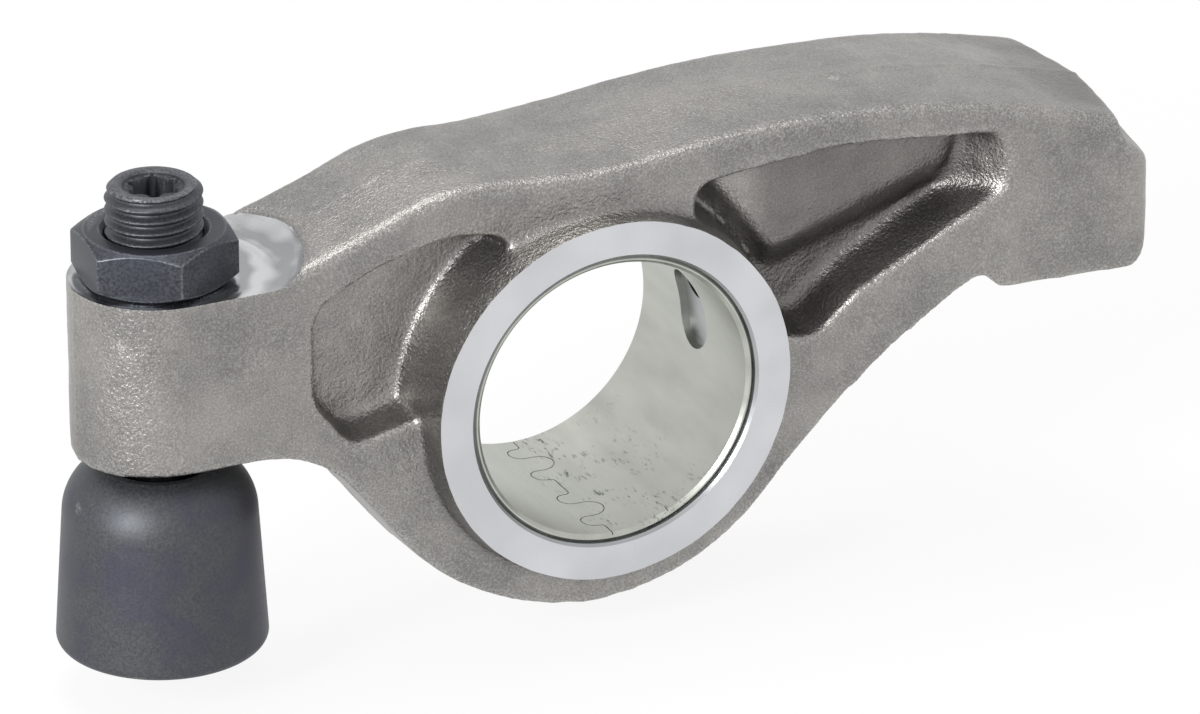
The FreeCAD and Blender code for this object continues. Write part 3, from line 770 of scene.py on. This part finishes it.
for name, share, rounds in (("pockets", deep_in_pocket, 14), ("ramps", on_ramp, 30)):
    apply_modifier(forging, "SMOOTH", factor=0.5, iterations=rounds,
                   vertex_group=share_by_place(forging, name, share))
    print(name, "smoothed", rounds, "times more")

# %% [markdown]
# Where the dies met, the flash was sheared off and blasted, which leaves a broken low ridge round the
# whole outline. A vertex group marks the vertices near the middle plane and a displacement lifts them.
# Two more displacements, broad and fine, move the whole skin in and out by a tenth of a millimetre.

# %% Waviness of the dies and the parting line


def clouds(name, size_mm):
    texture = bpy.data.textures.new(name, "CLOUDS")
    texture.noise_scale = size_mm * MM
    texture.noise_depth = 2
    return texture


FLASH_HALF = 0.55
FLASH_HEIGHT = 0.2
WAVE_HEIGHT = 0.28
PIT_HEIGHT = 0.10
parting = share_by_place(forging, "parting_line", lambda place: 1.0 - abs(place.y) / FLASH_HALF)
apply_modifier(forging, "DISPLACE", strength=FLASH_HEIGHT * MM, mid_level=0.0, vertex_group=parting,
               texture=clouds("broken_flash", 2.5), texture_coords="LOCAL")
for height, texture in ((WAVE_HEIGHT, clouds("die_waviness", 9.0)), (PIT_HEIGHT, clouds("scale_pits", 1.6))):
    apply_modifier(forging, "DISPLACE", strength=height * MM, texture=texture, texture_coords="LOCAL")
print("parting line", 2 * FLASH_HALF, "mm wide, up to", FLASH_HEIGHT, "mm high")

# %% [markdown]
# Now the machine shop. Two facing cutters square the hub, and a boring bar opens it and breaks the edges
# of the bore. Every cutter carries the whole list of finishes, with all its faces in the one that it
# leaves behind. Cutters reach a clear way past the skin.

# %% Facing and boring the hub
SKIN = (FORGED, FACED, MILLED, BORED)
finished(forging, *SKIN)
CLEAR = 6.0
BORE_CHAMFER = 0.35
hub_clear = HUB_HALF + CLEAR
face_r = HUB_FACE_R + CLEAR
for side in (-1, 1):
    near, far = side * HUB_HALF, side * hub_clear
    facing = [(0, near), (face_r, near), (face_r, far), (0, far), (0, near)]
    combine(forging, finished(turned("facing_cutter", facing, axis="Y", steps=128), *SKIN, index=1))
wide = BORE_R + BORE_CHAMFER
bar = mirrored([(BORE_R, HUB_HALF - BORE_CHAMFER), (wide, HUB_HALF), (wide, hub_clear), (0, hub_clear)])
combine(forging, finished(turned("boring_bar", bar, axis="Y", steps=160), *SKIN, index=3))
print("hub:", round(2 * HUB_HALF, 2), "mm wide, bored", round(2 * BORE_R, 2), "mm")

# %% [markdown]
# A spot-face cutter with round corners levels the boss and bites into the arm beside it. A drill opens
# the screw's hole, with a wide mouth below, and another one makes the seat of the pushrod's cup.

# %% Spot face, screw hole and cup seat
CUTTER_R = 18.0
CUTTER_CORNER = 3.0
HOLE_PLAY = 0.05
spot = [(0, SEAT_Z)] + arc((CUTTER_R - CUTTER_CORNER, SEAT_Z + CUTTER_CORNER), CUTTER_CORNER, -90, 0, 8)
spot += [(CUTTER_R, SEAT_Z + 30), (0, SEAT_Z + 30), (0, SEAT_Z)]
combine(forging, finished(turned("spot_cutter", spot, (SCREW_X, 0, 0), steps=128), *SKIN, index=2))
hole_r = THREAD_R + HOLE_PLAY
tap = [(0, -CLEAR), (hole_r + 2, -CLEAR), (hole_r, 0), (hole_r, SEAT_Z + CLEAR), (0, SEAT_Z + CLEAR)]
combine(forging, finished(turned("tapping_drill", tap, (SCREW_X, 0, 0)), *SKIN, index=3))
seat = [(0, cup_low.z - CLEAR), (CUP_R, cup_low.z - CLEAR), (CUP_R, cup_high.z), (0, cup_high.z)]
combine(forging, finished(turned("cup_drill", seat, (CUP_X, 0, 0)), *SKIN, index=3))
print("spot face at", round(SEAT_Z, 2), "mm, screw hole", round(2 * hole_r, 2), "mm")

# %% [markdown]
# Oil runs from the shaft to the pushrod. The gallery is drilled from the nose to the bore, its mouth is
# widened for a plug, and a feed drops from it to the cup. With that the forging is ready: it replaces
# the construction model's node and rides the rocker's body.

# %% Oil gallery
GALLERY_ANGLE = math.radians(20)
GALLERY_END_Z = 17.0
GALLERY_R = 2.25
PLUG_DEPTH = 6.2
PLUG_R = 2.8
FEED_R = 1.5
gallery_start = Vector((BUSH_R * math.cos(GALLERY_ANGLE), 0, BUSH_R * math.sin(GALLERY_ANGLE)))
gallery_end = Vector((arm_high.x, 0, GALLERY_END_Z))
gallery = (gallery_end - gallery_start).normalized()
plug_seat = gallery_end - gallery * PLUG_DEPTH
feed_top = gallery_start.z + (CUP_X - gallery_start.x) * gallery.z / gallery.x
for name, start, end, radius in (("gallery_drill", gallery_start, gallery_end, GALLERY_R),
                                 ("plug_drill", plug_seat, gallery_end + gallery * CLEAR, PLUG_R),
                                 ("feed_drill", (CUP_X, 0, cup_high.z - 1), (CUP_X, 0, feed_top), FEED_R)):
    combine(forging, finished(drill(name, start, end, radius), *SKIN, index=3))
smooth_by_angle(forging, 32)
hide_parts("rocker_forging")
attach(forging, "rocker")
print("forging:", len(forging.data.polygons), "faces")

# %% [markdown]
# ## The bush
#
# The bush is a strip of bearing metal rolled to a ring, with broken edges. An oil slot is punched through
# it towards the gallery: a prism with round ends, pushed outwards through the wall.

# %% Bush with its oil slot
EDGE = 0.4
shell = mirrored([(BORE_R, BUSH_HALF - EDGE), (BORE_R - EDGE, BUSH_HALF), (BUSH_R + EDGE, BUSH_HALF),
                  (BUSH_R, BUSH_HALF - EDGE)])
bush = finished(turned("rolled_bush", shell + shell[:1], axis="Y", steps=192), BUSH)

SLOT_HALF = 3.7
SLOT_RISE = 1.7
SLOT_MIDDLE = math.radians(9.5)
outward = Vector((math.cos(SLOT_MIDDLE), 0, math.sin(SLOT_MIDDLE)))
round_about = Vector((-math.sin(SLOT_MIDDLE), 0, math.cos(SLOT_MIDDLE)))
stadium = arc((0, SLOT_RISE), SLOT_HALF, 0, 180, 12) + arc((0, -SLOT_RISE), SLOT_HALF, 180, 360, 12)
PUNCH_START = 12.0
outline = [outward * PUNCH_START + Vector((0, across, 0)) + round_about * rise for across, rise in stadium]
combine(bush, finished(prism("slot_punch", outline, outward * PUNCH_START), BUSH))
print("oil slot", 2 * SLOT_HALF, "by", 2 * (SLOT_HALF + SLOT_RISE), "mm")

# %% [markdown]
# The ends of the strip lock in a seam of round tabs, like a jigsaw puzzle, which stays visible as a hair
# line at the bottom of the bore. Its course is drawn flat, as lengths round the bore and along it, and
# bent to the wall. Pushed down it is a ribbon, which gets a hair's thickness and is cut into the wall.

# %% Seam of the rolled strip
SEAM_ANGLE = -90.6
SEAM_WIDTH = 0.13
SEAM_DEPTH = 0.3
seam = [(0, -BUSH_HALF - 1)]
for middle in (-7.3, 7.3):
    seam += arc((-0.6, middle - 5.5), 0.6, 0, 90, 4)
    seam += arc((-0.9, middle - 3.45), 1.45, -90, -270, 10)
    seam += arc((0.2, middle), 2.0, -90, 90, 12)
    seam += arc((-0.9, middle + 3.45), 1.45, -90, -270, 10)
    seam += arc((-0.6, middle + 5.5), 0.6, -90, 0, 4)
seam.append((0, BUSH_HALF + 1))


def on_bore(around, along):
    """A place just inside the bore, from a length round it and a length along it."""
    angle = math.radians(SEAM_ANGLE) + around / BUSH_R
    return Vector(((BUSH_R - SEAM_DEPTH) * math.cos(angle), along, (BUSH_R - SEAM_DEPTH) * math.sin(angle)))


ribbon = drawn("seam_ribbon", [on_bore(*point) for point in seam])
bpy.ops.mesh.extrude_region_move(TRANSFORM_OT_translate={"value": (0, 0, -2 * SEAM_DEPTH * MM)})
bpy.ops.object.mode_set(mode="OBJECT")
apply_modifier(ribbon, "SOLIDIFY", thickness=SEAM_WIDTH * MM, offset=0.0)
combine(bush, finished(tidy_mesh(ribbon, 0.0001), BUSH))
smooth_by_angle(bush, 30)
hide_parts("pivot_bush")
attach(bush, "rocker")
print("bush:", len(bush.data.polygons), "faces")

# %% [markdown]
# ## The adjusting screw
#
# The thread is rolled, so its crests and roots are round. One pitch of its outline, as shares of the
# thread's depth and of the pitch, is swept by the Screw modifier into a long helical rod. The sweep's
# ragged ends are cut off square and closed, and the rod is moved to the screw's axis.

# %% Threaded rod
PITCH = 1.5
THREAD_DEPTH = 0.86
THREAD_LOW = -1.5
SPARE = 3.1
turns = math.ceil((SCREW_TOP_Z - THREAD_LOW + 2 * SPARE) / PITCH)
ridge = [(1.0, 0), (0.93, 0.1), (0.72, 0.2), (0.24, 0.36), (0.05, 0.43), (0, 0.5)]
ridge += [(fall, 1 - share) for fall, share in reversed(ridge[:-1])]
rod = drawn("threaded_rod", [(THREAD_R - THREAD_DEPTH * fall, 0, PITCH * share) for fall, share in ridge])
bpy.ops.object.mode_set(mode="OBJECT")
apply_modifier(rod, "SCREW", axis="Z", angle=2 * math.pi, screw_offset=PITCH * MM, iterations=turns, steps=72,
               render_steps=72)
tidy_mesh(rod)
bpy.ops.object.mode_set(mode="EDIT")
for height, top in ((SPARE, False), (turns * PITCH - SPARE / 2, True)):
    bpy.ops.mesh.select_all(action="SELECT")
    bpy.ops.mesh.bisect(plane_co=metres(0, 0, height), plane_no=(0, 0, 1), use_fill=True, clear_outer=top,
                        clear_inner=not top, threshold=1e-7)
bpy.ops.mesh.select_all(action="SELECT")
bpy.ops.transform.translate(value=metres(SCREW_X, 0, THREAD_LOW - SPARE))
bpy.ops.object.mode_set(mode="OBJECT")
tidy_mesh(rod)
print("rod:", turns, "turns of", PITCH, "mm")

# %% [markdown]
# The construction model's screw has the right ends, neck, ball and drive. So the rod and a fat sleeve
# below it are intersected with a copy of it, and one solid results. The faces inside the drive, below
# its edge, take the darker finish.

# %% Screw with its helical thread
SLEEVE_LENGTH = 30.0
DRIVE_R = 3.8
DRIVE_LOW = 10.0
DRIVE_EDGE = 0.3
sleeve = drill("neck_window", (SCREW_X, 0, THREAD_LOW - SLEEVE_LENGTH), (SCREW_X, 0, THREAD_LOW + 0.1),
               THREAD_R + 3)
combine(rod, sleeve, "UNION")
screw = merged_copy("adjusting_screw", "threaded_screw")
finished(combine(screw, rod, "INTERSECT"), ROLLED, RECESS)
for face in screw.data.polygons:
    x, y, z = face.center / MM
    if math.hypot(x - SCREW_X, y) < DRIVE_R and DRIVE_LOW < z < SCREW_TOP_Z - DRIVE_EDGE:
        face.material_index = 1
smooth_by_angle(screw, 35)
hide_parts("adjusting_screw")
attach(screw, "screw")
print("screw:", len(screw.data.polygons), "faces")

# %% [markdown]
# The nut's corners are broken by tumbling, so a copy of it gets its flat faces joined up and a narrow
# bevel on every sharp edge. The bevels take the rubbed finish.

# %% Lock nut with broken edges
BROKEN_EDGE = 0.3
nut = merged_copy("lock_nut", "hexagon_nut")
bpy.ops.object.mode_set(mode="EDIT")
bpy.ops.mesh.select_all(action="SELECT")
bpy.ops.mesh.dissolve_limited(angle_limit=math.radians(2))
bpy.ops.object.mode_set(mode="OBJECT")
finished(nut, PHOSPHATED, RUBBED)
apply_modifier(nut, "BEVEL", width=BROKEN_EDGE * MM, segments=3, limit_method="ANGLE",
               angle_limit=math.radians(26), material=1)
smooth_by_angle(nut, 40)
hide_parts("lock_nut")
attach(nut, "nut")
print("nut:", len(nut.data.polygons), "faces")

# %% [markdown]
# The foot, its split ring, the pushrod's cup and the gallery's plug are plain turned pieces, and the
# construction model has their true shapes. They keep them and only take their finishes.

# %% Finishes of the turned pieces
for node, finish in (("swivel_foot", HEAT_TINTED), ("foot_clip", HARDENED), ("pushrod_socket", HARDENED),
                     ("gallery_plug", HARDENED)):
    NODES[node].data.materials.clear()
    NODES[node].data.materials.append(finish)
    print(node, "in", finish.name)
